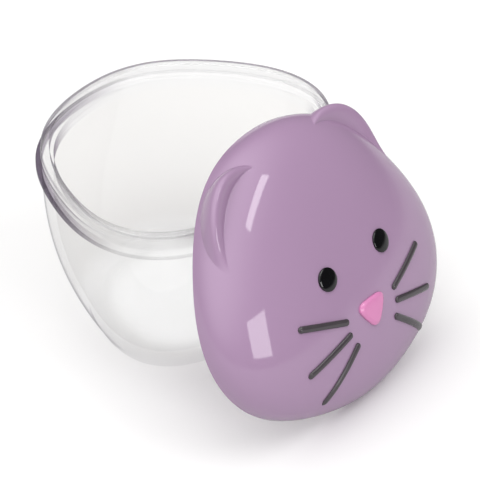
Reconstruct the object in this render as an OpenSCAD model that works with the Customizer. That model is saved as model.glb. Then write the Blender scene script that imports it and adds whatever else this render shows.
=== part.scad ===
// Snack container for a toddler: a clear cup with a push-on lid shaped like an animal's head.
//
// The cup stands on its foot at the origin, with the crown of its head outline towards +Y
// and its chin towards -Y. The lid is off. It stands on its chin edge in front of the cup
// and leans back, with the open side over the cup's rim and the face towards -Y.
// All sizes are millimetres.

/* [Head outline] */
// Mean radius of the outline that the cup and the lid share
head_r = 46; // [42:0.5:52]
// How much wider than tall the outline is, as a share of its radius
head_oval = 0.068; // [0.03:0.002:0.08]
// How far the crown and the two cheeks stand out, as a share of the radius
head_lobes = 0.044; // [0.02:0.002:0.05]
// How low and full the cheeks sit, as a share of the radius
head_jowl = 0.016; // [0:0.002:0.018]

/* [Cup] */
// Height of the cup from the table to its rim
cup_h = 61.6; // [56:0.2:72]
// Size of the foot as a share of the head outline
foot_share = 0.72; // [0.6:0.004:0.8]
// How quickly the side swells out above the foot
body_swell = 2.5; // [1.8:0.1:3.2]
// Radius of the outer edge round the foot
foot_round = 1.6; // [1:0.1:3]
// Thickness of the side wall low down
body_wall = 2.6; // [2:0.1:3.4]
// Thickness of the floor
floor_t = 3.4; // [2.4:0.1:5]
// Radius where the floor meets the wall inside
floor_round = 6; // [4:0.5:8]

/* [Neck and flange] */
// Height of the neck above the flange
neck_h = 5.2; // [4.6:0.1:6]
// How far the neck stands back from the flange's edge
neck_inset = 1.7; // [1.4:0.1:2]
// Wall of the neck
neck_wall = 2.7; // [2.2:0.1:3.2]
// Thickness of the flange that the lid lands on
flange_t = 2; // [1.4:0.1:3]
// Depth of the recess inside the neck that takes the lid's plug lip
recess_depth = 3.1; // [2.4:0.1:3.4]
// Width of the ledge at the bottom of that recess
ledge_w = 1.2; // [0.8:0.1:1.6]
// Height of the snap bead round the neck
bead_h = 0.25; // [0.1:0.05:0.3]

/* [Lid] */
// How far the lid's edge stands out past the flange
lid_overhang = 1; // [0.3:0.1:1.2]
// Straight part of the lid's side above its edge
skirt_h = 2.4; // [1.6:0.2:4]
// Height of the dome above that straight part
dome_h = 18.7; // [16:0.2:24]
// Roundness of the dome, where 2 is an ellipse
dome_power = 2.25; // [2:0.05:2.5]
// Wall of the dome
dome_wall = 2; // [1.6:0.1:2.4]
// Gap between the lid's side and the neck
neck_gap = 0.4; // [0.3:0.05:0.5]
// Wall of the plug lip that enters the neck
lip_wall = 1.1; // [0.9:0.1:1.4]
// Length of the plug lip below the seal
lip_drop = 1.4; // [0.8:0.1:2]

/* [Seal ring] */
// Thickness of the seal ring
seal_t = 1.6; // [1.2:0.1:2]
// How far the neck presses into the seal ring when the lid is on
seal_squeeze = 0.2; // [0.1:0.05:0.4]
// Gap round the seal ring in its groove
seal_gap = 0.1; // [0.05:0.05:0.2]

/* [Ears] */
// Bearing of each ear's highest point from the crown, in degrees
ear_bearing = 40; // [34:1:46]
// How far an ear reaches from there towards the crown, in degrees
ear_near = 19; // [15:1:22]
// How far an ear reaches from there towards the cheek, in degrees
ear_far = 28; // [20:1:30]
// How far an ear stands out of the dome
ear_h = 5.6; // [3:0.2:7]
// Tilt of the ears from the lid's edge towards the face, in degrees
ear_tilt = 45; // [25:1:50]
// Distance from the lid's edge to the crease behind an ear, along the dome
ear_back = 1.8; // [1.4:0.1:4]
// Distance from the lid's edge to the crease in front of an ear, along the dome
ear_front = 10; // [8.4:0.2:11]
// Distance from the lid's edge to the tips where those creases meet, along the dome
ear_tips = 13; // [11.6:0.2:14]

/* [Face] */
// Diameter of an eye
eye_d = 7.2; // [5:0.1:9]
// Distance of an eye from the middle of the face
eye_x = 13.2; // [10:0.1:17]
// Height of the eyes above the middle of the dome
eye_y = 0.6; // [-4:0.1:6]
// How far an eye's button stands up
eye_h = 1; // [0.5:0.1:2]
// Width of the nose across its top
nose_w = 10.4; // [7:0.1:13]
// Height of the nose from its top to its tip
nose_l = 8.6; // [6:0.1:10]
// Height of the nose's middle above the middle of the dome
nose_y = -15.4; // [-20:0.1:-11]
// How far the nose stands up
nose_h = 1.3; // [0.6:0.1:2]
// Distance of the top whiskers' outer ends from the head outline
whisker_top_in = 20.2; // [18:0.2:24]
// Distance of the middle whiskers' outer ends from the head outline
whisker_middle_in = 10.6; // [9:0.2:14]
// Distance of the bottom whiskers' outer ends from the head outline
whisker_bottom_in = 2.8; // [1.8:0.2:6]
// Length of a whisker
whisker_l = 19.8; // [14:0.2:22]
// Width of a whisker
whisker_w = 2.1; // [1.2:0.1:2.4]
// How far a whisker stands up
whisker_h = 0.9; // [0.4:0.1:1.2]
// Seat gap between the face pieces and the dome
seat_gap = 0.06; // [0.04:0.01:0.15]

/* [Lid at rest] */
// How far the lid leans back from upright, in degrees
lid_lean = 30.4; // [26:0.1:34]
// How far the lid is rolled on its chin, in degrees
lid_roll = 4.2; // [-6:0.1:6]
// How far the lid is turned about the upright axis, in degrees
lid_turn = 0; // [-4:0.2:4]
// Distance of the lid's middle to the side of the cup's middle
lid_side = -3.8; // [-4:0.1:4]
// Gap kept between the cup's neck and the inside of the lid's wall where it leans
lean_gap = 0.15; // [0.1:0.05:0.5]
// Height of the lid's edge above the table
lid_foot_gap = 0.1; // [0:0.05:0.3]

/* [Hidden] */

// Heights on the cup
flange_z = cup_h - neck_h;
ledge_z = cup_h - recess_depth;
rim_round = 0.5;
edge_round = 0.4;
ledge_round = 0.3;
rim_mid = 0.3 * rim_round;
bead_z = flange_z + 0.5 * neck_h;
bead_slope = 3;

// Insets from the head outline, positive towards the middle
neck_in = neck_inset + neck_wall;
ledge_in = neck_in + ledge_w;
skirt_in = neck_inset - neck_gap;
lip_out = neck_in + neck_gap;
lip_in = lip_out + lip_wall;

// Heights in the lid, from its edge towards the top of the dome
seal_z = neck_h - seal_squeeze;
seat_z = seal_z + seal_t;
lip_z = seal_z - lip_drop;

// ---- Head outline -------------------------------------------------------

// Radius at bearing a, which runs from the crown towards +X: a circle with an oval, three
// lobes and low cheeks added as cosine waves.
function head_radius(a) = head_r * (
    1 - head_oval * cos(2 * a) + head_lobes * cos(3 * a) - head_jowl * cos(5 * a)
);

// Change of that radius for each radian of bearing.
function head_slope(a) = head_r * (
    2 * head_oval * sin(2 * a) - 3 * head_lobes * sin(3 * a) + 5 * head_jowl * sin(5 * a)
);

// Unit normal of the outline at bearing a, pointing out.
function head_normal(a) =
    let (r = head_radius(a), s = head_slope(a))
    [r * sin(a) - s * cos(a), r * cos(a) + s * sin(a)] / norm([r, s]);

// Point of the outline at bearing a, grown by a factor and then moved in along its normal.
function head_point(a, grow = 1, inset = 0) =
    grow * head_radius(a) * [sin(a), cos(a)] - inset * head_normal(a);

// One closed ring of the outline at height z.
function head_ring(bearings, z, inset, grow = 1) = [
    for (a = bearings) let (p = head_point(a, grow, inset)) [p.x, p.y, z]
];

// Bearings of the cup's columns, evenly spaced.
cup_columns = 60;
cup_bearings = [for (i = [0:cup_columns - 1]) i * 360 / cup_columns];

// ---- Skin over a stack of rings -----------------------------------------

// Triangles between ring k and ring k + 1 of a stack with n points a ring. The squares of
// the second half are cut along their other diagonal, so the two halves mirror each other.
function band(k, n) = [
    for (i = [0:n - 1])
        let (j = (i + 1) % n, a = k * n + i, b = k * n + j, c = a + n, d = b + n)
        each 2 * i < n ? [[a, b, d], [a, d, c]] : [[a, b, c], [b, d, c]]
];

// Closed skin over rings, from the middle point under the first to the one over the last.
module skin(rings, first_pole, last_pole) {
    n = len(rings[0]);
    count = len(rings) * n;
    last_start = count - n;
    points = [each [for (ring = rings) each ring], first_pole, last_pole];
    faces = [
        each [for (i = [0:n - 1]) [count, (i + 1) % n, i]],
        each [for (k = [0:len(rings) - 2]) each band(k, n)],
        each [for (i = [0:n - 1]) [last_start + i, last_start + (i + 1) % n, count + 1]]
    ];
    polyhedron(points = points, faces = faces);
}

// ---- Cup ----------------------------------------------------------------

// Growth of the body at a share t of its height: it swells fast above the foot and stands
// upright below the flange.
function body_grow(t) = foot_share + (1 - foot_share) * (1 - pow(1 - max(t, 0), body_swell));

// Share of the body's height at z, from the foot's edge to the flange.
function body_share(z) = (z - foot_round) / (flange_z - flange_t - foot_round);

// Ring of the cup's outer side at height z.
function body_ring(z) = head_ring(cup_bearings, z, neck_inset, body_grow(body_share(z)));

// Inner side: the wall thickens from body_wall at the floor to the ledge under the neck.
function inner_inset(z) =
    let (t = max(body_share(z), 0))
    neck_inset + body_wall + (ledge_in - neck_inset - body_wall) * pow(t, 4);

// Ring of the cup's inner side at height z, moved in by extra.
function inner_ring(z, extra = 0) = head_ring(
    cup_bearings, z, inner_inset(z) + extra, body_grow(body_share(z))
);

body_steps = 11;
inner_steps = 8;
round_steps = 3;

// A neck ring: the head outline at its full size.
function neck_ring(z, inset) = head_ring(cup_bearings, z, inset);

// Underside and outer edge of the foot.
foot_rings = [
    for (i = [0:round_steps])
        let (a = 90 * i / round_steps)
        head_ring(
            cup_bearings,
            foot_round * (1 - sin(a)),
            neck_inset + foot_round * (1 - cos(a)),
            body_grow(0)
        )
];

body_top_z = flange_z - flange_t;

// Rings from the foot up the outside, over the rim and down to the floor inside.
cup_rings = [
    each [for (i = [round_steps:-1:0]) foot_rings[i]],
    each [
        for (i = [1:body_steps])
            body_ring(foot_round + (body_top_z - foot_round) * i / body_steps)
    ],
    neck_ring(body_top_z, edge_round),
    neck_ring(body_top_z + edge_round, 0),
    neck_ring(flange_z - edge_round, 0),
    neck_ring(flange_z, edge_round),
    neck_ring(flange_z, neck_inset),
    neck_ring(bead_z - bead_slope * bead_h, neck_inset),
    neck_ring(bead_z, neck_inset - bead_h),
    neck_ring(bead_z + bead_slope * bead_h, neck_inset),
    neck_ring(cup_h - rim_round, neck_inset),
    neck_ring(cup_h - rim_mid, neck_inset + rim_mid),
    neck_ring(cup_h, neck_inset + rim_round),
    neck_ring(cup_h, neck_in - rim_round),
    neck_ring(cup_h - rim_mid, neck_in - rim_mid),
    neck_ring(cup_h - rim_round, neck_in),
    neck_ring(ledge_z, neck_in),
    neck_ring(ledge_z, ledge_in - ledge_round),
    neck_ring(ledge_z - ledge_round, ledge_in),
    each [
        for (i = [0:inner_steps])
            let (low = floor_t + floor_round)
            inner_ring(body_top_z + (low - body_top_z) * i / inner_steps)
    ],
    each [
        for (i = [1:round_steps])
            let (a = 90 * i / round_steps)
            inner_ring(floor_t + floor_round * (1 - sin(a)), floor_round * (1 - cos(a)))
    ]
];

// Clear cup: foot, swelling body, flange, neck with its snap bead, and the recess inside.
module cup() {
    color([0.93, 0.95, 0.97, 0.35])
        skin(cup_rings, [0, 0, 0], [0, 0, floor_t]);
}

// ---- Lid's own frame: X across the face, Y to the crown, Z out of the dome ----

// Bearings of the lid's columns on one side, closer together across the ear.
ear_margin = 1;
ear_start = ear_bearing - ear_near - ear_margin;
ear_end = ear_bearing + ear_far + ear_margin;
crown_columns = 3;
ear_columns = 28;
cheek_columns = 14;
side_bearings = [
    each [for (i = [0:crown_columns - 1]) i * ear_start / crown_columns],
    each [for (i = [0:ear_columns - 1]) ear_start + i * (ear_end - ear_start) / ear_columns],
    each [for (i = [0:cheek_columns - 1]) ear_end + i * (180 - ear_end) / cheek_columns]
];
lid_bearings = [
    each side_bearings,
    180,
    each [for (i = [len(side_bearings) - 1:-1:1]) 360 - side_bearings[i]]
];

// Bearing measured both ways from the crown, from 0 to 180.
function side_bearing(a) = a > 180 ? 360 - a : a;

// Dome profile at a share q of its quarter turn: [share of the radius, share of the height].
function dome_profile(q) = [
    pow(cos(90 * q), 2 / dome_power),
    pow(sin(90 * q), 2 / dome_power)
];

// Height of the dome's outside over the point [x, y] of the face.
function dome_z(x, y) =
    let (
        a = atan2(x, y),
        edge = norm(head_point(a, 1, -lid_overhang)),
        share = min(norm([x, y]) / edge, 1)
    )
    skirt_h + dome_h * pow(1 - pow(share, dome_power), 1 / dome_power);

// An ear is the dome's skin between two creases, pushed out. The powers say how full the
// space between the creases is, how the height falls towards the crown and towards the
// cheek, how far forward the rim lies, and how soft the creases are.
crease_power = 0.7;
near_power = 1.4;
far_power = 2.1;
rim_power = 1.2;
soft_power = 0.7;

// Share of the way round an ear at bearing a: 0 on its own bearing and 1 at its ends.
function ear_share(a) =
    let (side = side_bearing(a) - ear_bearing)
    min(side < 0 ? -side / ear_near : side / ear_far, 1);

// How far apart the creases are at bearing a: 1 on the ear's bearing and 0 at its ends.
function ear_open(a) = pow(1 - pow(ear_share(a), 2), crease_power);

// Distances of the back and the front crease from the edge, for a given opening.
function creases(open) = [
    ear_tips - (ear_tips - ear_back) * open,
    ear_tips - (ear_tips - ear_front) * open
];

// Move of the dome's skin at bearing a and distance w from the edge: [out, up].
function ear_move(a, w) =
    let (
        crease = creases(ear_open(a)),
        across = (w - crease[0]) / max(crease[1] - crease[0], 0.01)
    )
    across <= 0 || across >= 1 ? [0, 0] :
    let (
        wave = pow(sin(180 * pow(across, rim_power)), soft_power),
        fall = side_bearing(a) < ear_bearing ? near_power : far_power,
        height = ear_h * pow(1 - pow(ear_share(a), 2), fall) * wave
    )
    height * [cos(ear_tilt), sin(ear_tilt)];

// Distance from the edge along the dome to a turn q, on the mean radius.
function dome_walk(q, steps = 12) = skirt_h + [
    for (
        i = 0, last = [head_r, 0], sum = 0;
        i <= steps;
        p = dome_profile(q * i / steps),
        here = [p.x * head_r, p.y * dome_h],
        sum = sum + norm(here - last),
        last = here,
        i = i + 1
    ) sum
][steps];

// Point of a dome at bearing a and turn q: its edge is at an inset, its top at a height.
function dome_point(a, q, inset, height) =
    let (p = dome_profile(q), edge = head_point(a, 1, inset))
    [p.x * edge.x, p.x * edge.y, skirt_h + height * p.y];

// Ring of the dome's inside.
function inner_dome_ring(q) = [for (a = lid_bearings) dome_point(a, q, skirt_in, inner_dome_h)];

// Ring of the lid's skirt or of its plug lip.
function skirt_ring(z, inset) = head_ring(lid_bearings, z, inset);

// Turn q of the dome that lies at a distance w from the edge.
walk_steps = 60;
walk_table = [for (i = [0:walk_steps]) [dome_walk(i / walk_steps), i / walk_steps]];
function turn_at(w) = lookup(w, walk_table);

// Rings of the dome's outside. They run along the creases: some below the back crease, some
// between the creases and some above the front one, so an ear's ends stay sharp and clean.
// Creases never close up altogether here, and the lowest one keeps clear of the skirt.
below_rings = 3;
ear_rings = 8;
middle_rings = 7;
least_open = 0.2;
least_step = 0.9;
last_turn = 0.9;
middle_w = dome_walk(last_turn);
function ring_walk(a, i) =
    let (
        crease = creases(max(ear_open(a), least_open)),
        low = max(crease[0], skirt_h + least_step)
    )
    i <= below_rings ? skirt_h + (low - skirt_h) * i / below_rings :
    i <= below_rings + ear_rings ? low + (crease[1] - low) * (i - below_rings) / ear_rings :
    crease[1] + (middle_w - crease[1]) * (i - below_rings - ear_rings) / middle_rings;
function outer_dome_ring(i) = [
    for (a = lid_bearings)
        let (
            w = ring_walk(a, i),
            move = ear_move(a, w),
            out = move[0] * head_normal(a)
        )
        dome_point(a, turn_at(w), -lid_overhang, dome_h) + [out.x, out.y, move[1]]
];

// Inner turns: they start where the inner dome has come in past the plug lip.
inner_dome_h = dome_h - dome_wall;
lip_root = 0.6;
narrow_r = min([for (a = lid_bearings) head_radius(a)]);
inner_share = 1 - (lip_in + lip_root - skirt_in) / narrow_r;
inner_start = acos(pow(inner_share, dome_power / 2)) / 90;
inner_count = 6;
inner_turns = [for (i = [0:inner_count]) last_turn + (inner_start - last_turn) * i / inner_count];

// Small edges: the flare that guides the skirt over the neck, and the lip's round end.
lead_in = 0.8;
lip_round = 0.3;
lid_bead_z = 0.32 * neck_h;

// Rings from the middle of the dome down its inside, round the edge and up the outside.
lid_rings = [
    each [for (q = inner_turns) inner_dome_ring(q)],
    skirt_ring(seat_z, lip_in),
    skirt_ring(lip_z + lip_round, lip_in),
    skirt_ring(lip_z, lip_in - lip_round),
    skirt_ring(lip_z, lip_out + lip_round),
    skirt_ring(lip_z + lip_round, lip_out),
    skirt_ring(seat_z, lip_out),
    skirt_ring(seat_z, skirt_in),
    skirt_ring(lid_bead_z + bead_slope * bead_h, skirt_in),
    skirt_ring(lid_bead_z, skirt_in + bead_h),
    skirt_ring(lead_in, skirt_in),
    skirt_ring(0, skirt_in - lead_in),
    skirt_ring(0, edge_round - lid_overhang),
    skirt_ring(edge_round, -lid_overhang),
    skirt_ring(skirt_h, -lid_overhang),
    each [for (i = [1:below_rings + ear_rings + middle_rings]) outer_dome_ring(i)]
];

// ---- Where the lid leans ------------------------------------------------

// A point of the lid's own frame rolled on its chin, tilted up, and turned.
function rolled(p) = [
    p.x * cos(lid_roll) + p.y * sin(lid_roll),
    p.y * cos(lid_roll) - p.x * sin(lid_roll),
    p.z
];

function tilted(p) = [
    p.x,
    p.y * sin(lid_lean) - p.z * cos(lid_lean),
    p.y * cos(lid_lean) + p.z * sin(lid_lean)
];

function turned(p) = [
    p.x * cos(lid_turn) - p.y * sin(lid_turn),
    p.x * sin(lid_turn) + p.y * cos(lid_turn),
    p.z
];

function leaned(p) = turned(tilted(rolled(p)));

// Height of the lid's middle, so that its chin edge is just above the table.
lid_up = lid_foot_gap - min([for (p = skirt_ring(edge_round, -lid_overhang)) leaned(p).z]);

// Front of the cup's outline at x, with the outline moved in by an inset.
front_bearings = [for (i = [0:40]) 110 + 3.5 * i];
function cup_front(x, inset) = lookup(
    x, [for (a = front_bearings) let (p = head_point(a, 1, inset)) [p.x, p.y]]
);

// How far in front of the cup's middle the lid's middle must be for a point of the lid that
// is beside the neck or the flange to clear it.
function front_for(p) =
    let (
        q = leaned(p),
        x = q.x + lid_side,
        z = q.z + lid_up,
        by_neck = abs(z - flange_z - neck_h / 2) < neck_h / 2 + lean_gap,
        by_flange = abs(z - flange_z + flange_t / 2) < flange_t / 2 + lean_gap
    )
    lean_gap + q.y - (by_flange ? cup_front(x, 0) : by_neck ? cup_front(x, neck_inset) : q.y);

// The lid rests where the first point of its edge or of its plug lip meets the cup.
lid_front = max([
    for (
        ring = [
            skirt_ring(0, edge_round - lid_overhang),
            skirt_ring(0, skirt_in - lead_in),
            skirt_ring(lead_in, skirt_in),
            skirt_ring(lip_z, lip_out + lip_round),
            skirt_ring(lip_z, lip_in - lip_round)
        ],
        p = ring
    ) front_for(p)
]);

// Places a piece of the lid where the lid leans.
module leaning() {
    translate([lid_side, -lid_front, lid_up])
        rotate([0, 0, lid_turn])
            rotate([90 - lid_lean, 0, 0])
                rotate([0, 0, -lid_roll])
                    children();
}

// Domed lid: skirt, ears, groove for the seal ring and the plug lip.
module lid_shell() {
    color([0.72, 0.62, 0.74])
        leaning()
            skin(
                lid_rings,
                [0, 0, skirt_h + inner_dome_h],
                [0, 0, skirt_h + dome_h]
            );
}

// Flat seal ring in the groove between the skirt and the plug lip.
module seal_ring() {
    color([0.93, 0.93, 0.92])
        leaning()
            translate([0, 0, seal_z])
                linear_extrude(height = seal_t)
                    difference() {
                        polygon([for (a = cup_bearings) head_point(a, 1, skirt_in + seal_gap)]);
                        polygon([for (a = cup_bearings) head_point(a, 1, lip_out - seal_gap)]);
                    }
}

// ---- Face pieces --------------------------------------------------------

// A point on the dome, lifted clear of it by the seat gap and a further lift.
function on_dome(p, lift) = [p.x, p.y, dome_z(p.x, p.y) + seat_gap + lift];

// Button that sits on the dome: an outline round its middle, and a top that rises from the
// edge along a profile of [share of the outline, share of the height].
module button(middle, outline, profile, height) {
    rings = [
        [for (p = outline) on_dome(middle + p, 0)],
        each [
            for (step = profile)
                [for (p = outline) on_dome(middle + step.x * p, step.y * height)]
        ]
    ];
    skin(rings, on_dome(middle, 0), on_dome(middle, height));
}

// Profile of an eye: a short upright edge and a round top.
eye_edge = 0.3;
eye_steps = 5;
eye_profile = [
    for (i = [0:eye_steps - 1])
        let (a = 90 * i / eye_steps)
        [cos(a), eye_edge + (1 - eye_edge) * sin(a)]
];

// Outline of an eye: a circle, clockwise from the top.
eye_points = 20;
eye_outline = [
    for (i = [0:eye_points - 1])
        let (a = 360 * i / eye_points)
        0.5 * eye_d * [sin(a), cos(a)]
];

module eye(side) {
    color([0.03, 0.03, 0.03])
        leaning()
            button([side * eye_x, eye_y], eye_outline, eye_profile, eye_h);
}

module left_eye() {
    eye(-1);
}

module right_eye() {
    eye(1);
}

// Outline of the nose: a triangle with round corners and its tip down, drawn as a circle
// that waves of three and of six lobes pull out.
nose_points = 27;
nose_lobes = 0.17;
nose_corners = 0.03;
function nose_r(a) = 1 + nose_lobes * cos(3 * a) + nose_corners * cos(6 * a);
nose_outline = [
    for (i = [0:nose_points - 1])
        let (a = i * 360 / nose_points)
        nose_r(a - 180) * [0.5 * nose_w * sin(a), 0.5 * nose_l * cos(a)]
];

// Bevelled profile of the nose: a steep side, a bevel and a nearly flat top.
nose_profile = [[1, 0.45], [0.93, 0.8], [0.82, 0.95], [0.45, 1]];

module nose() {
    color([0.89, 0.55, 0.75])
        leaning()
            button([0, nose_y], nose_outline, nose_profile, nose_h);
}

// Whisker rows from the top: [bearing of the outer end, its inset, slope of the whisker].
whisker_rows = [
    [100.4, whisker_top_in, 20.2],
    [130.8, whisker_middle_in, -12.8],
    [144.5, whisker_bottom_in, -36]
];
whisker_stations = 10;
whisker_ribs = 6;
whisker_edge = 0.25;

// Share of a whisker's full width at distance x from its inner end, for two round ends.
function whisker_share(x) =
    let (half = whisker_w / 2, d = min(x, whisker_l - x) / half)
    d >= 1 ? 1 : sqrt(max(1 - pow(1 - d, 2), 0.01));

// Mean of a list of points.
function middle_of(points) = [for (p = points) 1 / len(points)] * points;

// Cross-section of a whisker on the right at distance x: a round top over a flat base.
function whisker_section(row, x) =
    let (
        turn = row.z,
        along = [cos(turn), sin(turn)],
        middle = head_point(row.x, 1, row.y) + (x - whisker_l) * along,
        share = whisker_share(x),
        half = share * whisker_w / 2 * [-sin(turn), cos(turn)]
    )
    [
        for (i = [0:whisker_ribs])
            let (a = 180 * i / whisker_ribs)
            on_dome(
                middle + cos(a) * half,
                share * whisker_h * (whisker_edge + (1 - whisker_edge) * sin(a))
            ),
        on_dome(middle - half, 0),
        on_dome(middle, 0),
        on_dome(middle + half, 0)
    ];

// Raised bar that follows the dome, from its inner end to its outer end.
module whisker(side, row) {
    sections = [
        for (i = [0:whisker_stations])
            let (
                turn = 180 * (side < 0 ? i : whisker_stations - i) / whisker_stations,
                x = whisker_l * (1 - cos(turn)) / 2
            )
            [for (p = whisker_section(whisker_rows[row], x)) [side * p.x, p.y, p.z]]
    ];
    color([0.28, 0.27, 0.28])
        leaning()
            skin(sections, middle_of(sections[0]), middle_of(sections[whisker_stations]));
}

module left_whisker_top() {
    whisker(-1, 0);
}

module left_whisker_middle() {
    whisker(-1, 1);
}

module left_whisker_bottom() {
    whisker(-1, 2);
}

module right_whisker_top() {
    whisker(1, 0);
}

module right_whisker_middle() {
    whisker(1, 1);
}

module right_whisker_bottom() {
    whisker(1, 2);
}

cup();
lid_shell();
seal_ring();
left_eye();
right_eye();
nose();
left_whisker_top();
left_whisker_middle();
left_whisker_bottom();
right_whisker_top();
right_whisker_middle();
right_whisker_bottom();
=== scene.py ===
# %% [markdown]
# # A snack container with a lid shaped like a cat's head
# A clear plastic cup stands at the back, open. Its lid, a domed cat's head in glossy
# lilac plastic, stands on its chin in front and leans over the cup's rim. Every piece is
# a surface worked out with numpy, so that its shape is a formula and not a drawing.
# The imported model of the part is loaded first. It is the fixed frame that each piece of
# this scene rides on and takes the place of.

# %% Load the frame
import math
import bpy
import numpy as np
from mathutils import Euler, Matrix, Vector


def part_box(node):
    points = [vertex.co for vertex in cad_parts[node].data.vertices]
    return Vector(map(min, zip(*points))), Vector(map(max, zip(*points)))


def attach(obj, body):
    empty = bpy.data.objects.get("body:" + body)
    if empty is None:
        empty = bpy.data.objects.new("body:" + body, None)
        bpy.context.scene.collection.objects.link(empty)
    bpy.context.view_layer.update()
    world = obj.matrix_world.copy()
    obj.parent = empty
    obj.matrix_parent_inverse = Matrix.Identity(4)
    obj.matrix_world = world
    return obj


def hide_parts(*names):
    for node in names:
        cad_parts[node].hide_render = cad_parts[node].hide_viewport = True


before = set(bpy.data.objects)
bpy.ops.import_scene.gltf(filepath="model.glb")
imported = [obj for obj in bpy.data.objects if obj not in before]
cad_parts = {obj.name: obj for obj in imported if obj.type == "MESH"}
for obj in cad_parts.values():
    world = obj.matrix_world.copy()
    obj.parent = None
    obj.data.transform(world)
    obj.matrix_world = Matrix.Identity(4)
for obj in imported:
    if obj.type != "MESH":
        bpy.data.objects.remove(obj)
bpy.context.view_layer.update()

# %% [markdown]
# ## The head outline
# Cup and lid share one outline, seen from above: a circle that three waves pull into a
# head. A wave of two lobes makes it wider than tall, a wave of three pulls out the crown
# and the two cheeks, and a weak wave of five moves the cheeks down. One formula gives
# both pieces, so they fit each other. Lengths are worked out in millimetres, as a maker
# thinks of them, and are turned into Blender's metres when a mesh is made.

# %% Head outline
MM = 0.001
HEAD_R, OVAL, LOBES, JOWL = 46.0, 0.068, 0.044, 0.016


def head_radius(a):
    """Mean radius times: one, less a cosine of twice the bearing, plus one of three times
    it, less one of five times it. The bearing runs from the crown towards +X."""
    waves = 1 - OVAL * np.cos(2 * a) + LOBES * np.cos(3 * a) - JOWL * np.cos(5 * a)
    return HEAD_R * waves


def head_slope(a):
    """The radius's rate of change with the bearing: each wave's sine, times its count."""
    waves = 2 * OVAL * np.sin(2 * a) - 3 * LOBES * np.sin(3 * a) + 5 * JOWL * np.sin(5 * a)
    return HEAD_R * waves


def head_normal(a):
    """The outline's outward direction: the radial direction, less the slope's share of
    the direction along the outline, made one long."""
    r, s = head_radius(a), head_slope(a)
    out = np.stack([r * np.sin(a) - s * np.cos(a), r * np.cos(a) + s * np.sin(a)], -1)
    return out / np.hypot(r, s)[..., None]


def head_point(a, inset=0.0, grow=1.0):
    """A point of the outline, grown about the middle, then moved in along its normal."""
    radial = np.stack([np.sin(a), np.cos(a)], -1)
    return (grow * head_radius(a))[..., None] * radial - inset[..., None] * head_normal(a)


print("outline radius, mm: crown %.1f, cheek %.1f, chin %.1f"
      % tuple(head_radius(np.radians([0.0, 105.0, 180.0]))))

# %% [markdown]
# ## From a grid of points to a mesh
# Every piece here is a grid: rows of points that go round, stacked one after another.
# Each point joins its neighbours into a four-sided face, the columns close into a ring,
# and a fan to one middle point closes each end. Counting the points in one fixed order
# makes all faces look outwards.

# %% Grid to mesh
def closed_mesh(name, rows, first, last):
    """A piece from rows of points (row, column, xyz) in millimetres, with a middle point
    under the first row and one over the last."""
    count, columns, _ = rows.shape
    index = np.arange(count * columns).reshape(count, columns)
    beside = np.roll(index, -1, axis=1)
    quads = np.stack([index[:-1], index[1:], beside[1:], beside[:-1]], -1).reshape(-1, 4)
    low, high = count * columns, count * columns + 1
    first_fan = np.stack([index[0], beside[0], np.full(columns, low)], -1)
    last_fan = np.stack([beside[-1], index[-1], np.full(columns, high)], -1)
    points = np.concatenate([rows.reshape(-1, 3), [first], [last]]) * MM
    mesh = bpy.data.meshes.new(name)
    mesh.from_pydata(points.tolist(), [], quads.tolist() + first_fan.tolist() + last_fan.tolist())
    mesh.shade_smooth()
    piece = bpy.data.objects.new(name, mesh)
    bpy.context.scene.collection.objects.link(piece)
    print(name, "grid", count, "x", columns, "->", len(mesh.polygons), "faces")
    return piece


def rounded(corners, radii, steps=5):
    """A path whose corners are rounded: each corner gives a short curve that starts and
    ends its radius away from the corner, by the formula of a parabola through both."""
    corners, radii = np.asarray(corners, float), np.asarray(radii, float)
    way = np.diff(corners, axis=0)
    way /= np.linalg.norm(way, axis=1)[:, None]
    middle, r = corners[1:-1, None], radii[:, None, None]
    start, end = middle - r * way[:-1, None], middle + r * way[1:, None]
    t = np.linspace(0, 1, steps)[None, :, None]
    curves = (1 - t) ** 2 * start + 2 * t * (1 - t) * middle + t ** 2 * end
    return np.concatenate([corners[:1], curves.reshape(-1, 2), corners[-1:]])


# %% [markdown]
# ## The clear cup
# The real cup is one injection moulding: a flat foot, a side that swells out, a thin
# flange that the lid lands on, and a neck above it. Inside, a small step under the rim
# takes the lid's plug lip. The cup isn't round, so a lathe won't do. Instead one profile
# of heights, insets and growths is carried round the head outline, up the outside, over
# the rim and down the inside, which gives the wall its true thickness. Clear plastic
# needs that thickness, because light bends once at each face.

# %% Cup sizes
CUP_H, FOOT_SHARE, BODY_SWELL, FOOT_ROUND = 61.6, 0.72, 2.5, 1.6
BODY_WALL, FLOOR_T, FLOOR_ROUND = 2.6, 3.4, 6.0
NECK_H, NECK_INSET, NECK_WALL, FLANGE_T = 5.2, 1.7, 2.7, 2.0
RECESS_DEPTH, LEDGE_W, BEAD_H = 3.1, 1.2, 0.25
FLANGE_Z = CUP_H - NECK_H
BODY_TOP = FLANGE_Z - FLANGE_T
LEDGE_Z = CUP_H - RECESS_DEPTH
BEAD_Z = FLANGE_Z + NECK_H / 2
NECK_IN = NECK_INSET + NECK_WALL
LEDGE_IN = NECK_IN + LEDGE_W


def body_share(z):
    """Height as a share of the body, from the foot's edge to the flange."""
    return np.clip((z - FOOT_ROUND) / (BODY_TOP - FOOT_ROUND), 0, 1)


def body_grow(z):
    """Growth of the outline: from the foot's share to one, by one less a power of what is
    left of the height, so that the side swells fast at first and ends upright."""
    return FOOT_SHARE + (1 - FOOT_SHARE) * (1 - (1 - body_share(z)) ** BODY_SWELL)


def wall_inset(z):
    """Inset of the cup's inner side: the wall, and a fourth power that thickens it up to
    the ledge."""
    low = NECK_INSET + BODY_WALL
    return low + (LEDGE_IN - low) * body_share(z) ** 4


# %% Cup profile and mesh
def quarter(steps):
    """Angles of a quarter turn, without its first one."""
    return np.linspace(0, np.pi / 2, steps + 1)[1:]


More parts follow.
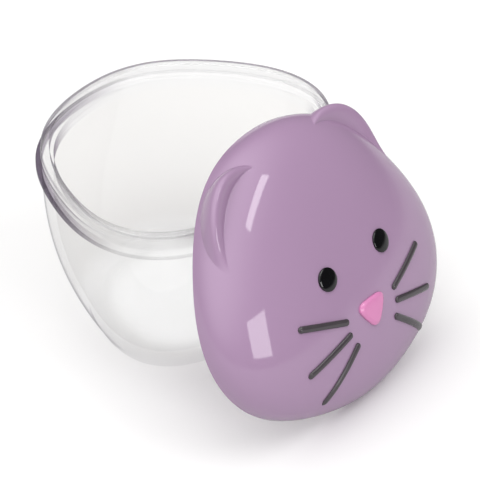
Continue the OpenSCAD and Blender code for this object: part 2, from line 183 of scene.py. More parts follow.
def cup_profile():
    """The cup's section as rows of [height, inset, growth]."""
    q = quarter(8)
    foot = np.stack([FOOT_ROUND * (1 - np.sin(q)), NECK_INSET + FOOT_ROUND * (1 - np.cos(q)),
                     0 * q], -1)[::-1]
    z = np.linspace(FOOT_ROUND, BODY_TOP - 0.6, 40)
    side = np.stack([z, np.full_like(z, NECK_INSET), 0 * z], -1)
    neck = rounded(
        [[NECK_INSET, BODY_TOP - 0.6], [NECK_INSET, BODY_TOP], [0, BODY_TOP], [0, FLANGE_Z],
         [NECK_INSET, FLANGE_Z], [NECK_INSET, BEAD_Z - 0.8], [NECK_INSET - BEAD_H, BEAD_Z],
         [NECK_INSET, BEAD_Z + 0.8], [NECK_INSET, CUP_H], [NECK_IN, CUP_H], [NECK_IN, LEDGE_Z],
         [LEDGE_IN, LEDGE_Z], [LEDGE_IN, BODY_TOP]],
        [0.25, 0.45, 0.45, 0.25, 0.25, 0.3, 0.25, 0.6, 0.6, 0.25, 0.35], 6)
    neck = np.stack([neck[:, 1], neck[:, 0], 0 * neck[:, 0]], -1)[1:]
    z = np.linspace(BODY_TOP, FLOOR_T + FLOOR_ROUND, 32)[1:]
    inner = np.stack([z, wall_inset(z), 0 * z], -1)
    q = quarter(10)
    z = FLOOR_T + FLOOR_ROUND * (1 - np.sin(q))
    hollow = np.stack([z, wall_inset(z) + FLOOR_ROUND * (1 - np.cos(q)), 0 * q], -1)
    rows = np.concatenate([foot, side[1:], neck, inner, hollow])
    rows[:, 2] = body_grow(rows[:, 0])
    return rows


COLUMNS = 288
bearings = np.linspace(0, 2 * np.pi, COLUMNS, endpoint=False)


def ringed(profile, a):
    """Rows of points from rows of [height, inset, growth], carried round the outline."""
    z, inset, grow = (profile[:, i, None] + 0 * a[None] for i in range(3))
    flat = head_point(a[None] + 0 * z, inset, grow)
    return np.concatenate([flat, z[..., None]], -1)


cup = closed_mesh("clear_cup", ringed(cup_profile(), bearings), [0, 0, 0], [0, 0, FLOOR_T])

# %% [markdown]
# ## The lid's own frame
# The lid is worked out lying flat, open side down, with the crown at +Y and the dome
# towards +Z. It is then rolled a little on its chin, tilted up and moved to where it
# leans, all inside the array, so that the object itself stays at the origin.

# %% Leaning the lid
LEAN, ROLL = math.radians(30.4), math.radians(4.2)
LID_SIDE = -3.8
OVERHANG, SKIRT_H, DOME_H, DOME_POWER, DOME_WALL = 1.0, 2.4, 18.7, 2.25, 2.0
FOOT_GAP = 0.1


def turned(p):
    """Points rolled about the dome's axis, then tilted about the X axis from lying flat
    to upright less the lean."""
    x = p[..., 0] * math.cos(ROLL) + p[..., 1] * math.sin(ROLL)
    y = p[..., 1] * math.cos(ROLL) - p[..., 0] * math.sin(ROLL)
    z = p[..., 2]
    return np.stack([x, y * math.sin(LEAN) - z * math.cos(LEAN),
                     y * math.cos(LEAN) + z * math.sin(LEAN)], -1)


cad_low, cad_high = (np.array(c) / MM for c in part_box("lid_shell"))
print("lid in the frame, mm:", cad_low.round(2), cad_high.round(2))


# %% [markdown]
# ## The dome and its ears
# The lid's dome follows a power curve, a little fuller than an ellipse. Its ears aren't
# separate pieces: they are moulded with the dome, so they are made by moving the dome's
# own skin. Seen from the front, an ear lies between two creases that meet at its ends.
# Between them the skin is pushed out and up along one slanting line, by half a wave. A
# wave raised to a power under one has steep sides and a broad round top, so an ear is a
# rounded ridge that stands out of the dome and curves round it, not a sharp fin. The
# height falls to nothing at both ends, so no seam shows.
#
# A grid with rows at even distances would cut the slanting creases into saw teeth. The
# rows of this grid run along the creases instead.

# %% Dome and ear formulas
EAR_BEARING, EAR_NEAR, EAR_FAR = 40.0, 19.0, 28.0
EAR_H, EAR_TILT = 5.6, math.radians(45)
EAR_BACK, EAR_FRONT, EAR_TIPS = 1.8, 10.0, 13.0
CREASE_POWER, NEAR_POWER, FAR_POWER, RIM_POWER, SOFT_POWER = 0.7, 1.4, 2.1, 1.2, 0.7


def dome_profile(q):
    """A quarter turn q from the edge to the top: the cosine and the sine, each to the
    power of two over the dome's power, give the shares of the radius and the height."""
    turn = q * np.pi / 2
    return np.cos(turn) ** (2 / DOME_POWER), np.sin(turn) ** (2 / DOME_POWER)


fine_turns = np.linspace(0, 1, 4001)
fine_x, fine_z = dome_profile(fine_turns)
chords = np.hypot(np.diff(fine_x) * HEAD_R, np.diff(fine_z) * DOME_H)
fine_walks = SKIRT_H + np.concatenate([[0], np.cumsum(chords)])


def turn_at(w):
    """The turn that lies at a distance w along the dome from the lid's edge: the lengths
    of short chords, added up and read backwards."""
    return np.interp(w, fine_walks, fine_turns)


def dome_z(x, y):
    """Height of the dome's outside over a point of the face: the power curve of its share
    of the outline's radius."""
    a = np.arctan2(x, y)
    edge = np.linalg.norm(head_point(a, 0 * a - OVERHANG), axis=-1)
    share = np.minimum(np.hypot(x, y) / edge, 1)
    return SKIRT_H + DOME_H * (1 - share ** DOME_POWER) ** (1 / DOME_POWER)


def ear_room(a):
    """What is left of an ear at a bearing: one less the squared share of the way from its
    middle to its end, and whether the bearing lies on the crown's side of the middle."""
    side = np.degrees(np.arccos(np.cos(a))) - EAR_BEARING
    u = np.minimum(np.where(side < 0, -side / EAR_NEAR, side / EAR_FAR), 1)
    return 1 - u * u, side < 0


def creases(opening):
    """Distances of both creases from the edge: they start at the ear's tips and part in
    proportion to the opening."""
    return EAR_TIPS - (EAR_TIPS - EAR_BACK) * opening, EAR_TIPS - (EAR_TIPS - EAR_FRONT) * opening


def ear_move(a, w):
    """How far the ears push the dome's skin, out and up, at a bearing and a distance from
    the edge: a half wave between the creases, times a height that falls to both ends."""
    room, near = ear_room(a)
    back, front = creases(room ** CREASE_POWER)
    across = np.clip((w - back) / np.maximum(front - back, 0.01), 0, 1)
    wave = np.maximum(np.sin(np.pi * across ** RIM_POWER), 0) ** SOFT_POWER
    height = EAR_H * room ** np.where(near, NEAR_POWER, FAR_POWER) * wave
    return height * math.cos(EAR_TILT), height * math.sin(EAR_TILT)


def outer_walks(a):
    """Distances of the grid's rows from the edge at each bearing: even steps up to the
    back crease, between the creases, and on to the middle of the dome."""
    back, front = creases(np.maximum(ear_room(a)[0] ** CREASE_POWER, 0.1))
    back = np.maximum(back, SKIRT_H + 0.6)
    end = fine_walks[-1] - 0.5
    parts = [(0 * a + SKIRT_H, back, 14), (back, front, 60), (front, 0 * a + end, 84)]
    steps = [low + (high - low) * np.linspace(0, 1, count + 1)[:-1, None]
             for low, high, count in parts]
    return np.concatenate(steps + [0 * a[None] + end])


def dome_rows(q, a, inset, height):
    """Rows of a dome: the outline at its inset times the radius share, at the height's
    share."""
    x, z = dome_profile(q + 0 * a[None])
    flat = x[..., None] * head_point(a[None] + 0 * x, 0 * x + inset)
    return np.concatenate([flat, (SKIRT_H + height * z)[..., None]], -1)


def eared_rows(a):
    """Rows of the dome's outside, with the ears' move added along the outline's normal
    and upwards."""
    w = outer_walks(a)
    out, up = ear_move(a[None], w)
    rows = dome_rows(turn_at(w), a, -OVERHANG, DOME_H)
    rows[..., :2] += out[..., None] * head_normal(a[None] + 0 * w)
    rows[..., 2] += up
    return rows


print("an ear's creases, mm from the edge: back %.1f, front %.1f" % creases(1.0))

# %% [markdown]
# ## The lid
# The lid is one closed skin, as moulded: down the inside of the dome, round the plug lip,
# up into the groove that holds the seal, down the inside of the skirt with its snap bead,
# round the edge, and up over the outside with its ears. Its columns are closer together
# over the ears, where the shape is finest.

# %% Lid mesh
NECK_GAP, LIP_WALL, LIP_DROP = 0.4, 1.1, 1.4
SEAL_T, SEAL_SQUEEZE, SEAL_GAP = 1.6, 0.2, 0.1
SKIRT_IN = NECK_INSET - NECK_GAP
LIP_OUT = NECK_IN + NECK_GAP
LIP_IN = LIP_OUT + LIP_WALL
SEAL_Z = NECK_H - SEAL_SQUEEZE
SEAT_Z = SEAL_Z + SEAL_T
LIP_Z = SEAL_Z - LIP_DROP
INNER_H = DOME_H - DOME_WALL
LEAD_IN, LID_BEAD_Z, LIP_ROOT = 0.8, 0.32 * NECK_H, 0.6


def lid_rows(a):
    """The lid's skin as rows of points, in its own frame."""
    narrow = head_radius(a).min()
    start = np.arccos((1 - (LIP_IN + LIP_ROOT - SKIRT_IN) / narrow) ** (DOME_POWER / 2)) * 2 / np.pi
    inside = dome_rows(np.linspace(0.985, start, 40)[:, None], a, SKIRT_IN, INNER_H)
    path = rounded(
        [[LIP_IN + LIP_ROOT, SEAT_Z + 4.2], [LIP_IN, SEAT_Z], [LIP_IN, LIP_Z], [LIP_OUT, LIP_Z],
         [LIP_OUT, SEAT_Z], [SKIRT_IN, SEAT_Z], [SKIRT_IN, LID_BEAD_Z + 0.8],
         [SKIRT_IN + BEAD_H, LID_BEAD_Z], [SKIRT_IN, LEAD_IN], [SKIRT_IN - LEAD_IN, 0],
         [-OVERHANG, 0], [-OVERHANG, SKIRT_H - 0.1]],
        [0.8, 0.4, 0.4, 0.2, 0.2, 0.3, 0.3, 0.2, 0.25, 0.45], 6)[1:]
    z, inset = path[:, 1, None] + 0 * a, path[:, 0, None] + 0 * a
    edge = np.concatenate([head_point(a + 0 * z, inset), z[..., None]], -1)
    return np.concatenate([inside, edge, eared_rows(a)])


EAR_SPAN = 18, 68   # bearings between which the columns are closest together
side = np.concatenate([
    np.linspace(0, EAR_SPAN[0], 14, endpoint=False),
    np.linspace(*EAR_SPAN, 84, endpoint=False),
    np.linspace(EAR_SPAN[1], 180, 56, endpoint=False)])
lid_bearings = np.radians(np.concatenate([side, [180.0], 360 - side[:0:-1]]))
flat_lid = lid_rows(lid_bearings)
lean_edge = turned(np.concatenate([head_point(bearings, 0 * bearings - OVERHANG),
                                   0 * bearings[:, None] + 0.4], -1))
LID_UP = FOOT_GAP - lean_edge[:, 2].min()
LID_FRONT = turned(flat_lid)[..., 1].max() - cad_high[1]
print("lid's middle, mm: %.2f in front and %.2f up" % (LID_FRONT, LID_UP))


def leaning(p):
    """Points of the lid's own frame, put where the lid leans."""
    return turned(np.asarray(p, float)) + [LID_SIDE, -LID_FRONT, LID_UP]


lid = closed_mesh("cat_head_lid", leaning(flat_lid),
                  leaning([0, 0, SKIRT_H + INNER_H]), leaning([0, 0, SKIRT_H + DOME_H]))

# %% [markdown]
# ## The seal ring
# A soft ring sits in the groove, and the neck presses into it when the lid is on. Its
# section is a plain rounded block, carried round the outline like everything else.

# %% Seal ring mesh
def ring_rows(path, a):
    """A closed section of [inset, height] carried round the outline, as rows that start
    and end on its inner side."""
    z, inset = path[:, 1, None] + 0 * a, path[:, 0, None] + 0 * a
    return np.concatenate([head_point(a + 0 * z, inset), z[..., None]], -1)


def torus_mesh(name, rows):
    """A ring-shaped piece: rows round the section, closed both ways, with no poles."""
    count, columns, _ = rows.shape
    index = np.arange(count * columns).reshape(count, columns)
    up, beside = np.roll(index, -1, axis=0), np.roll(index, -1, axis=1)
    quads = np.stack([index, up, np.roll(up, -1, axis=1), beside], -1).reshape(-1, 4)
    mesh = bpy.data.meshes.new(name)
    mesh.from_pydata((rows.reshape(-1, 3) * MM).tolist(), [], quads.tolist())
    mesh.shade_smooth()
    piece = bpy.data.objects.new(name, mesh)
    bpy.context.scene.collection.objects.link(piece)
    print(name, "grid", count, "x", columns, "->", len(mesh.polygons), "faces")
    return piece


seal_low, seal_high = SEAL_Z, SEAT_Z - 0.02
seal_out, seal_in = SKIRT_IN + SEAL_GAP, LIP_OUT - SEAL_GAP
seal_path = rounded(
    [[seal_in, (seal_low + seal_high) / 2], [seal_in, seal_low], [seal_out, seal_low],
     [seal_out, seal_high], [seal_in, seal_high], [seal_in, (seal_low + seal_high) / 2 + 0.1]],
    [0.3, 0.3, 0.3, 0.3], 6)[:-1]
seal = torus_mesh("seal_ring_soft", leaning(ring_rows(seal_path, bearings)))

# %% [markdown]
# ## The face
# Eyes, nose and whiskers are small buttons pressed onto the dome. Each is a grid in two
# parameters: how far round its outline, and how far from its edge to its middle. The
# height of the dome under each point is added, so a button follows the dome exactly and
# never floats or sinks.

# %% Eyes and nose
EYE_D, EYE_X, EYE_Y, EYE_H = 7.2, 13.2, 0.6, 1.0
NOSE_W, NOSE_L, NOSE_Y, NOSE_H = 10.4, 8.6, -15.4, 1.3
SEAT = 0.06


def on_dome(x, y, lift):
    """A point over the dome's outside, lifted by the seat gap and a lift of its own."""
    return np.stack([x, y, dome_z(x, y) + SEAT + lift], -1)


def button(name, middle, outline, profile):
    """A closed button: a flat base, then rows from the edge to the middle along a profile
    of [share of the outline, lift]."""
    base = np.array([[0.5, 0.0], [1.0, 0.0]])
    steps = np.concatenate([base, profile])
    x = middle[0] + steps[:, 0, None] * outline[None, :, 0]
    y = middle[1] + steps[:, 0, None] * outline[None, :, 1]
    rows = on_dome(x, y, steps[:, 1, None] + 0 * x)
    top = on_dome(*np.array(middle, float), profile[-1, 1])
    foot = on_dome(*np.array(middle, float), 0.0)
    return closed_mesh(name, leaning(rows), leaning(foot), leaning(top))


turn = np.linspace(0, 2 * np.pi, 96, endpoint=False)
circle = np.stack([np.sin(turn), np.cos(turn)], -1)
lift = np.linspace(0, np.pi / 2, 26)[:-1]
eye_profile = np.stack([np.cos(lift), EYE_H * (0.3 + 0.7 * np.sin(lift))], -1)
eyes = [button(name, (side * EYE_X, EYE_Y), EYE_D / 2 * circle, eye_profile)
        for name, side in (("left_eye_button", -1), ("right_eye_button", 1))]

NOSE_LOBES, NOSE_CORNERS = 0.17, 0.03
down = turn - np.pi
nose_wave = 1 + NOSE_LOBES * np.cos(3 * down) + NOSE_CORNERS * np.cos(6 * down)
nose_outline = nose_wave[:, None] * circle * [NOSE_W / 2, NOSE_L / 2]
nose_path = rounded(
    [[1, 0.02], [1, 0.62], [0.8, 1.22], [0.4, NOSE_H], [0.02, NOSE_H]], [0.1, 0.08, 0.15], 7)
nose = button("nose_button", (0, NOSE_Y), nose_outline, nose_path)

# %% [markdown]
# ## Whiskers
# A whisker is a bar with round ends. One parameter runs along it and the other round its
# section. Towards each end, width and height shrink as a quarter circle does, so both
# ends close in a round nose without a separate cap.

# %% Whisker meshes
WHISKER_L, WHISKER_W, WHISKER_H = 19.8, 2.1, 0.9
# Bearing and inset of each outer end, and the whisker's slope
WHISKER_ROWS = {
    "top": (100.4, 20.2, 20.2),
    "middle": (130.8, 10.6, -12.8),
    "bottom": (144.5, 2.8, -36)}


def whisker(name, side, bearing, inset, slope):
    """A bar from its inner end to its outer one, which lies at a bearing and an inset of
    the outline: the section is half an ellipse over a flat base, and its size at each
    place is the root of one less a squared distance to the end."""
    s = np.linspace(0, np.pi, 72)[:, None]
    along = WHISKER_L * (1 - np.cos(s)) / 2
    if side > 0:
        along = along[::-1]
    half = WHISKER_W / 2
    reach = np.minimum(np.minimum(along, WHISKER_L - along) / half, 1)
    share = np.sqrt(np.maximum(1 - (1 - reach) ** 2, 0.002))
    top = np.linspace(0, np.pi, 25)[None]
    back = np.linspace(-1, 1, 10)[None, 1:-1]
    across = half * np.concatenate([np.cos(top), back], 1) * share
    lift = WHISKER_H * np.concatenate([0.2 + 0.8 * np.sin(top), 0 * back], 1) * share
    angle = math.radians(slope)
    outer_x, outer_y = head_point(np.radians(bearing), np.array(inset))
    x = outer_x + (along - WHISKER_L) * math.cos(angle) - across * math.sin(angle)
    y = outer_y + (along - WHISKER_L) * math.sin(angle) + across * math.cos(angle)
    rows = leaning(on_dome(side * x, y, lift))
    return closed_mesh(name, rows, rows[0].mean(0), rows[-1].mean(0))


whiskers = {f"{word}_whisker_{row}": whisker(f"{word}_whisker_{row}_bar", side, *place)
            for word, side in (("left", -1), ("right", 1)) for row, place in WHISKER_ROWS.items()}

# %% [markdown]
# ## Riding on the frame
# Each piece now takes the place of its solid in the frame and rides on that solid's body.

# %% Ride and replace
def stands_for(piece, node, body):
    """The piece rides on a body and replaces a node."""
    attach(piece, body)
    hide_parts(node)


stands_for(cup, "cup", "cup")
stands_for(lid, "lid_shell", "lid")
stands_for(seal, "seal_ring", "lid")
stands_for(eyes[0], "left_eye", "lid")
stands_for(eyes[1], "right_eye", "lid")
stands_for(nose, "nose", "lid")
for node, piece in whiskers.items():
    stands_for(piece, node, "lid")

# %% [markdown]
# ## Shader maths as Python
# A material is a small graph of nodes. Writing each sum as a node by hand hides what it
# means, so one class wraps a socket and turns plus, minus and times into Math nodes.

# %% Shader helpers
class Value:
    """A number that varies over a surface. Sums and products of it add Math nodes."""

    def __init__(self, finish, socket):
        self.finish, self.socket = finish, socket

    def math(self, operation, *others):
        return self.finish.node("ShaderNodeMath", {"operation": operation}, *others)

    def __add__(self, other):
        return self.math("ADD", self, other)

    def __radd__(self, other):
        return self.math("ADD", other, self)

    def __sub__(self, other):
        return self.math("SUBTRACT", self, other)

    def __rsub__(self, other):
        return self.math("SUBTRACT", other, self)

    def larger(self, other):
        """The larger of two values."""
        return self.math("MAXIMUM", self, other)

    def __mul__(self, other):
        return self.math("MULTIPLY", self, other)

    def __rmul__(self, other):
        return self.math("MULTIPLY", other, self)


class Finish:
    """A material or a world under construction: it makes nodes and links their sockets."""

    def __init__(self, owner):
        self.owner = owner
        self.owner.use_nodes = True
        self.tree = self.owner.node_tree
        self.tree.nodes.clear()

    def node(self, kind, settings=None, *values, output=0, **named):
        """Adds a node: its settings first, then values or links for its sockets."""
        made = self.tree.nodes.new(kind)
        for key, value in (settings or {}).items():
            setattr(made, key, value)
        by_name = [(key.replace("_", " "), value) for key, value in named.items()]
        for key, value in list(enumerate(values)) + by_name:
            if isinstance(value, Value):
                self.tree.links.new(value.socket, made.inputs[key])
            else:
                made.inputs[key].default_value = value
        return Value(self, made.outputs[output]) if made.outputs else None

    def place(self, kind="Object"):
        """Object coordinates: a pattern on them stays still on the piece."""
        return self.node("ShaderNodeTexCoord", output=kind)

    def noise(self, scale, detail=2.0, roughness=0.5):
        """Soft noise from 0 to 1."""
        return self.node("ShaderNodeTexNoise", Vector=self.place(), Scale=scale,
                         Detail=detail, Roughness=roughness)

    def colours(self, factor, first, second):
        """A colour between two, by a factor. This node repeats its sockets for each kind
        of data, so the ones for colours are found by number."""
        made = self.node("ShaderNodeMix", {"data_type": "RGBA"}, output=2)
        sockets = [made.socket.node.inputs[i] for i in (0, 6, 7)]
        for socket, value in zip(sockets, (factor, first, second)):
            if isinstance(value, Value):
                self.tree.links.new(value.socket, socket)
            else:
                socket.default_value = value
        return made

    def step(self, value, low, high):
        """A soft step: 0 below low, 1 above high and an S curve between."""
        return self.node("ShaderNodeMapRange", {"interpolation_type": "SMOOTHSTEP"},
                         value, low, high, 0.0, 1.0)

    def vector(self, operation, *others, output=1):
        """A sum of vectors. Output 1 is a number, such as a length, and output 0 a vector."""
        return self.node("ShaderNodeVectorMath", {"operation": operation}, *others, output=output)

    def mix(self, factor, first, second):
        """Two shaders mixed: the first where the factor is 0, the second where it is 1."""
        return self.node("ShaderNodeMixShader", None, factor, first, second)

    def bump(self, height, distance):
        """A normal from a height, in metres."""
        return self.node("ShaderNodeBump", Height=height, Distance=distance, Strength=1.0)

    def end(self, shader, kind="ShaderNodeOutputMaterial"):
        """Links a shader to the output."""
        self.node(kind, Surface=shader)
        return self.owner


def finish(name):
    """An empty material, ready for its nodes."""
    return Finish(bpy.data.materials.new(name))


# %% [markdown]
# ## Lilac plastic
# The lid is moulded in a pigmented plastic and comes from a polished tool, so it is
# glossy, with one even colour. Real mouldings are never perfect: the colour drifts a
# little where the plastic flowed, and the skin has a very faint waviness that makes
# reflections swim. Both come from soft noise, far too weak to see as a pattern.

# %% Lilac plastic
def lilac_plastic():
    f = finish("lilac_plastic")
    drift = f.noise(18.0, 1.0)
    colour = f.colours(drift, (0.400, 0.262, 0.405, 1), (0.425, 0.280, 0.430, 1))
    wave = f.bump(f.noise(70.0, 1.0), 0.00003)
    shader = f.node("ShaderNodeBsdfPrincipled", Base_Color=colour,
                    Roughness=0.04 + 0.03 * f.noise(60.0), Normal=wave, IOR=1.5)
    return f.end(shader)


lid.data.materials.append(lilac_plastic())

# %% [markdown]
# ## Clear plastic
# Clear plastic lets light through, bends it at both faces and mirrors a little of it. A
# path tracer that bends every ray finds lamps only by chance, and a thick clear cup then
# looks grey and grainy and throws a black shadow. This material is a mix instead. Most
# light goes straight through a Transparent shader. A Fresnel share is mirrored by a
# Glossy one, more at a slant, as on real plastic. Only a small share is really bent, most
# of it in the rim, where the plastic is thickest.
#
# What a straight ray misses is painted on by place, as shade, dark reflections and a glow,
# all of it fixed to the cup. Object coordinates give the height, and a dot product of the
# flat direction from the axis with the normal tells the outer skin from the inner one.
# With those two:
#
# - the walls seen from behind pass a little less light than those in front: painted shade;
# - edges seen at a slant are dark and slightly violet, partly from the long way through
#   the plastic and partly as painted dark reflection, most of all in the rim;
# - the flange and the top edge of the rim carry painted dark reflections on one side of the
#   cup, lines that stand for a thick edge mirroring the darker part of a room;
# - a disc in the floor's middle glows white with a soft uneven border: a painted glow
#   that stands for light gathered in the thick floor.
#
# Shadow rays take a plain way through: the outer skin holds some light back and the floor
# almost none, so the shadow stays soft and pale.

# %% Places on the cup
# Flat directions fixed to the cup, to its left and its back, where the painted dark
# reflections lie; heights and radii in metres.
TOWARDS_LEFT, TOWARDS_BACK = (-0.586, 0.810, 0), (0.810, 0.586, 0)
RIM_Z, FLANGE_LOW, FLANGE_HIGH, CROWN_Z = (
    (0.0525, 0.0545), (0.0537, 0.0543), (0.0564, 0.0570), (0.0610, 0.0615))
FLOOR_Z, FLOOR_R = (0.004, 0.006), (0.022, 0.031)
ASIDE, SLANTED, FADE = (0.016, 0.042), 0.6, 0.8


def cup_places(f):
    """Where a point lies on the cup, as values from 0 to 1: seen from its front side, on
    the outer skin, in the rim, on the flange, in the floor's painted glow disc, above the
    floor in two soft steps, and how dark the painted dark lines are there."""
    # Which skin is seen, and from which side.
    front = 1 - f.node("ShaderNodeNewGeometry", output="Backfacing")
    across = f.vector("MULTIPLY", f.place(), (1, 1, 0), output=0)
    away = f.vector("DOT_PRODUCT", across, f.node("ShaderNodeNewGeometry", output="Normal"))
    outside = away.math("GREATER_THAN", away * (2 * front - 1), 0.0)
    slant = f.node("ShaderNodeLayerWeight", Blend=0.5, output=1)

    # Where on the cup the point lies: heights in metres, then two flat directions.
    height = f.node("ShaderNodeSeparateXYZ", None, f.place(), output=2)
    rim = f.step(height, *RIM_Z)
    flange = f.step(height, *FLANGE_LOW) * (1 - f.step(height, *FLANGE_HIGH))
    flange = flange * (0.15 + 0.85 * outside)
    crown = f.step(height, *CROWN_Z)
    aside = f.step(f.vector("DOT_PRODUCT", across, TOWARDS_LEFT), *ASIDE)
    behind = f.step(f.vector("DOT_PRODUCT", across, TOWARDS_BACK), -0.01, 0.03)
    radius = f.vector("LENGTH", across) + 0.006 * f.noise(45.0)
    # The floor's middle, where a painted white glow is added.
    glow_disc = (1 - f.step(radius, *FLOOR_R)) * (1 - f.step(height, *FLOOR_Z))

    # Painted dark reflections: how dark the edges, the flange and the top of the rim are.
    # ASIDE is where the flange's band starts and is full, SLANTED how dark its line is and FADE
    # how much that fades.
    edge = f.step(slant, 0.84 - 0.36 * rim, 1.0) * outside.larger(rim)
    slanted = SLANTED * f.step(slant, 0.3, 0.8) * (1 - FADE + FADE * aside)
    edge = edge.larger(flange * slanted.larger(0.7 * aside))
    edge = edge.larger(0.65 * crown * outside * behind)
    wall = f.step(height, 0.004, 0.01)
    lit = f.step(height, 0.002, 0.006)
    return front, outside, rim, flange, glow_disc, wall, lit, edge


# %% [markdown]
# With the places known, the shaders are mixed one pair at a time, from the straight way
# through to the mirrored and the bent light and a painted glow. Each mix takes one of the
# places as its factor, so a line reads as a sentence: where the far wall is, be darker, as painted
# shade.

# %% Clear plastic
def clear_plastic():
    f = finish("clear_plastic")
    front, outside, rim, flange, glow_disc, wall, lit, edge = cup_places(f)
    wave = f.bump(f.noise(45.0, 2.0), 0.00006)
    rough = 0.015 + 0.03 * f.noise(30.0)

    # Straight through: clear in front, painted shade behind, painted dark lines at the edges.
    far_wall = f.node("ShaderNodeMath", {"operation": "ABSOLUTE"}, front - outside)
    far_wall = far_wall * wall * (1 - rim)
    clear_way = f.node("ShaderNodeBsdfTransparent", Color=(0.99, 0.99, 0.99, 1))
    shaded_way = f.node("ShaderNodeBsdfTransparent", Color=(0.948, 0.945, 0.94, 1))
    face_on = f.mix(far_wall, clear_way, shaded_way)
    # The dark violet way draws the dark lines: partly the long way through the plastic, partly
    # painted dark reflection.
    grazing = f.node("ShaderNodeBsdfTransparent", Color=(0.13, 0.075, 0.16, 1))
    straight = f.mix(edge, face_on, grazing)

    # Mirrored and bent light, and a painted glow in the floor's middle.
    gloss = f.node("ShaderNodeBsdfGlossy", Color=(0.95, 0.95, 0.96, 1),
                   Roughness=rough, Normal=wave)
    mirror = f.node("ShaderNodeFresnel", IOR=1.4, Normal=wave) * front * (0.2 + 0.8 * outside)
    thin = f.mix(mirror * (1 - 0.7 * flange), straight, gloss)
    bent = f.node("ShaderNodeBsdfPrincipled", Base_Color=(0.985, 0.985, 0.99, 1), IOR=1.45,
                  Roughness=rough, Normal=wave, Transmission_Weight=1.0)
    clear = f.mix((0.04 + 0.2 * rim) * (1 - 0.8 * flange), thin, bent)
    painted_glow = f.node("ShaderNodeEmission", Color=(1, 1, 1, 1), Strength=1.0)
    clear = f.mix(0.4 * glow_disc, clear, painted_glow)

    # Shadow rays.
    side_way = f.node("ShaderNodeBsdfTransparent", Color=(0.25, 0.24, 0.23, 1))
    passing = f.mix(outside * lit, clear_way, side_way)
    return f.end(f.mix(f.node("ShaderNodeLightPath", output="Is Shadow Ray"), clear, passing))


cup.data.materials.append(clear_plastic())

# %% [markdown]
# ## Small parts
# Eyes, nose, whiskers and seal are plain coloured mouldings. Each gets its own gloss and
# a trace of unevenness, because a perfectly even finish looks like paint on nothing.

# %% Plain mouldings
def moulding(name, dark, light, rough, spread, grain):
    """An even colour with a slow drift between two shades, and a rough value that varies."""
    f = finish(name)
    colour = f.colours(f.noise(160.0, 2.0), dark, light)
    skin = f.bump(f.noise(grain, 2.0), 0.00002)
    shader = f.node("ShaderNodeBsdfPrincipled", Base_Color=colour, IOR=1.5,
                    Roughness=rough + spread * f.noise(grain), Normal=skin)
    return f.end(shader)


black = moulding("black_plastic", (0.001, 0.001, 0.0015, 1), (0.003, 0.003, 0.004, 1),
                 0.06, 0.04, 300.0)
pink = moulding("pink_plastic", (0.72, 0.25, 0.50, 1), (0.76, 0.28, 0.53, 1), 0.14, 0.06, 400.0)
grey = moulding("grey_plastic", (0.055, 0.046, 0.053, 1), (0.068, 0.058, 0.065, 1),
                0.13, 0.06, 600.0)
white = moulding("white_silicone", (0.78, 0.78, 0.77, 1), (0.84, 0.84, 0.83, 1), 0.5, 0.1, 500.0)
for piece in eyes:
    piece.data.materials.append(black)
nose.data.materials.append(pink)
for piece in whiskers.values():
    piece.data.materials.append(grey)
seal.data.materials.append(white)

# %% [markdown]
# ## Floor
# The container stands on a white table that runs out of sight. To the camera the table is
# almost pure white, with a trace of its own glow, and it still takes the object's shadow.
# To every other ray it is greyer and fades with distance, because a real table top ends
# and the room beyond it is darker: a glossy lid mirrors that, and would look milky over
# an endless white floor.

# %% Floor
floor_mesh = bpy.data.meshes.new("white_table")
HALF, BELOW = 3.0, -0.0001   # metres; just under the foot, so that the two don't meet
corners = [(-HALF, -HALF, BELOW), (HALF, -HALF, BELOW), (HALF, HALF, BELOW), (-HALF, HALF, BELOW)]
floor_mesh.from_pydata(corners, [], [(0, 1, 2, 3)])
floor = bpy.data.objects.new("white_table", floor_mesh)
bpy.context.scene.collection.objects.link(floor)
f = finish("white_table")
distance = f.vector("LENGTH", f.place())
white = f.node("ShaderNodeBsdfDiffuse", Color=(0.90, 0.895, 0.89, 1))
fading = f.colours(f.step(distance, 0.25, 1.2), (0.65, 0.65, 0.65, 1), (0.25, 0.25, 0.25, 1))
dim = f.node("ShaderNodeBsdfDiffuse", Color=fading)
lift = f.node("ShaderNodeEmission", Color=(1, 1, 1, 1), Strength=0.05)
seen = f.mix(f.node("ShaderNodeLightPath", output="Is Camera Ray"),
             dim, f.node("ShaderNodeAddShader", None, white, lift))
floor_mesh.materials.append(f.end(seen))

# %% [markdown]
# ## Light
# The light comes mostly from above, a little from the back left, and the rest of the
# room is dark. Two softboxes make the two marks on the lid, a window-shaped one low down
# and a long narrow strip above it. A lamp's mark on a curved surface is a picture of the
# lamp, so each lamp's place and size were worked out from where its mark should lie.
# Camera rays see a plain white backdrop, which brightens nothing.

# %% Light
studio = Finish(bpy.data.worlds.new("studio"))
BRIGHTEST = -0.34, 0.2, 0.919   # direction of the ceiling's brightest part
back = studio.vector("DOT_PRODUCT", studio.place("Generated"), BRIGHTEST)
dark = studio.node("ShaderNodeBackground", Color=(1, 1, 1, 1), Strength=0.1)
bright = studio.node("ShaderNodeBackground", Color=(1, 1, 1, 1), Strength=1.75)
backdrop = studio.node("ShaderNodeBackground", Color=(1, 1, 1, 1), Strength=1.0)
sky = studio.mix(studio.step(back, 0.25, 0.95), dark, bright)
seen = studio.mix(studio.node("ShaderNodeLightPath", output="Is Camera Ray"), sky, backdrop)
bpy.context.scene.world = studio.end(seen, "ShaderNodeOutputWorld")


LID_MIDDLE = -0.035, -0.055, 0.05   # metres; the point that both lamps face


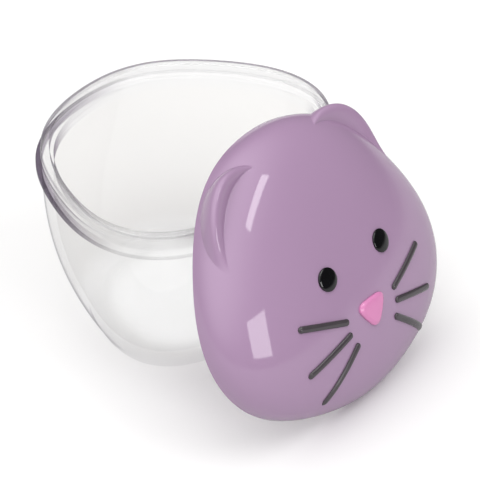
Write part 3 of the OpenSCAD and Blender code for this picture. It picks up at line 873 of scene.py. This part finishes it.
def softbox(name, azimuth, elevation, distance, spin, width, height, radiance):
    """A rectangular lamp, seen from the lid at an azimuth and an elevation in degrees. It
    faces the lid and is spun about that line. Its power is its radiance, times its area,
    times pi."""
    azimuth, elevation, spin = (math.radians(v) for v in (azimuth, elevation, spin))
    lamp = bpy.data.lights.new(name, "AREA")
    lamp.shape, lamp.size, lamp.size_y = "RECTANGLE", width, height
    lamp.energy = radiance * width * height * math.pi
    lamp_object = bpy.data.objects.new(name, lamp)
    bpy.context.scene.collection.objects.link(lamp_object)
    flat = math.cos(elevation)
    way = np.array([math.cos(azimuth) * flat, math.sin(azimuth) * flat, math.sin(elevation)])
    lamp_object.location = np.array(LID_MIDDLE) + distance * way
    tilt = Euler((math.pi / 2 - elevation, 0, azimuth + math.pi / 2))
    lamp_object.rotation_euler = (tilt.to_matrix() @ Matrix.Rotation(spin, 3, "Z")).to_euler()
    print(name, "watts: %.2f" % lamp.energy)


softbox("window_box", -102.8, 16.3, 1.0, -6.9, 0.36, 0.39, 5.5)
softbox("strip_box", -64.9, 57.9, 1.1, 6.0, 0.63, 0.138, 6.5)

# %% [markdown]
# ## Camera
# The camera stands at the front left and looks down. A long lens from nearly a metre away
# keeps the perspective weak, as in product pictures. An azimuth, an elevation and a
# distance from an aimed point say more to a reader than three coordinates would.

# %% Camera
CAMERA_AZIMUTH, CAMERA_ELEVATION, CAMERA_DISTANCE = math.radians(35.85), math.radians(37.87), 0.9
CAMERA_AIM = np.array([9.84, -13.62, 23.19]) * MM
look = np.array([math.cos(CAMERA_AZIMUTH) * math.cos(CAMERA_ELEVATION),
                 math.sin(CAMERA_AZIMUTH) * math.cos(CAMERA_ELEVATION),
                 -math.sin(CAMERA_ELEVATION)])
camera_data = bpy.data.cameras.new("camera")
camera_data.sensor_width, camera_data.lens = 36.0, 217.7
camera = bpy.data.objects.new("camera", camera_data)
camera.location = CAMERA_AIM - CAMERA_DISTANCE * look
camera.rotation_euler = (math.pi / 2 - CAMERA_ELEVATION, 0, CAMERA_AZIMUTH - math.pi / 2)
bpy.context.scene.collection.objects.link(camera)
bpy.context.scene.camera = camera
bpy.context.scene.view_settings.view_transform = "Standard"
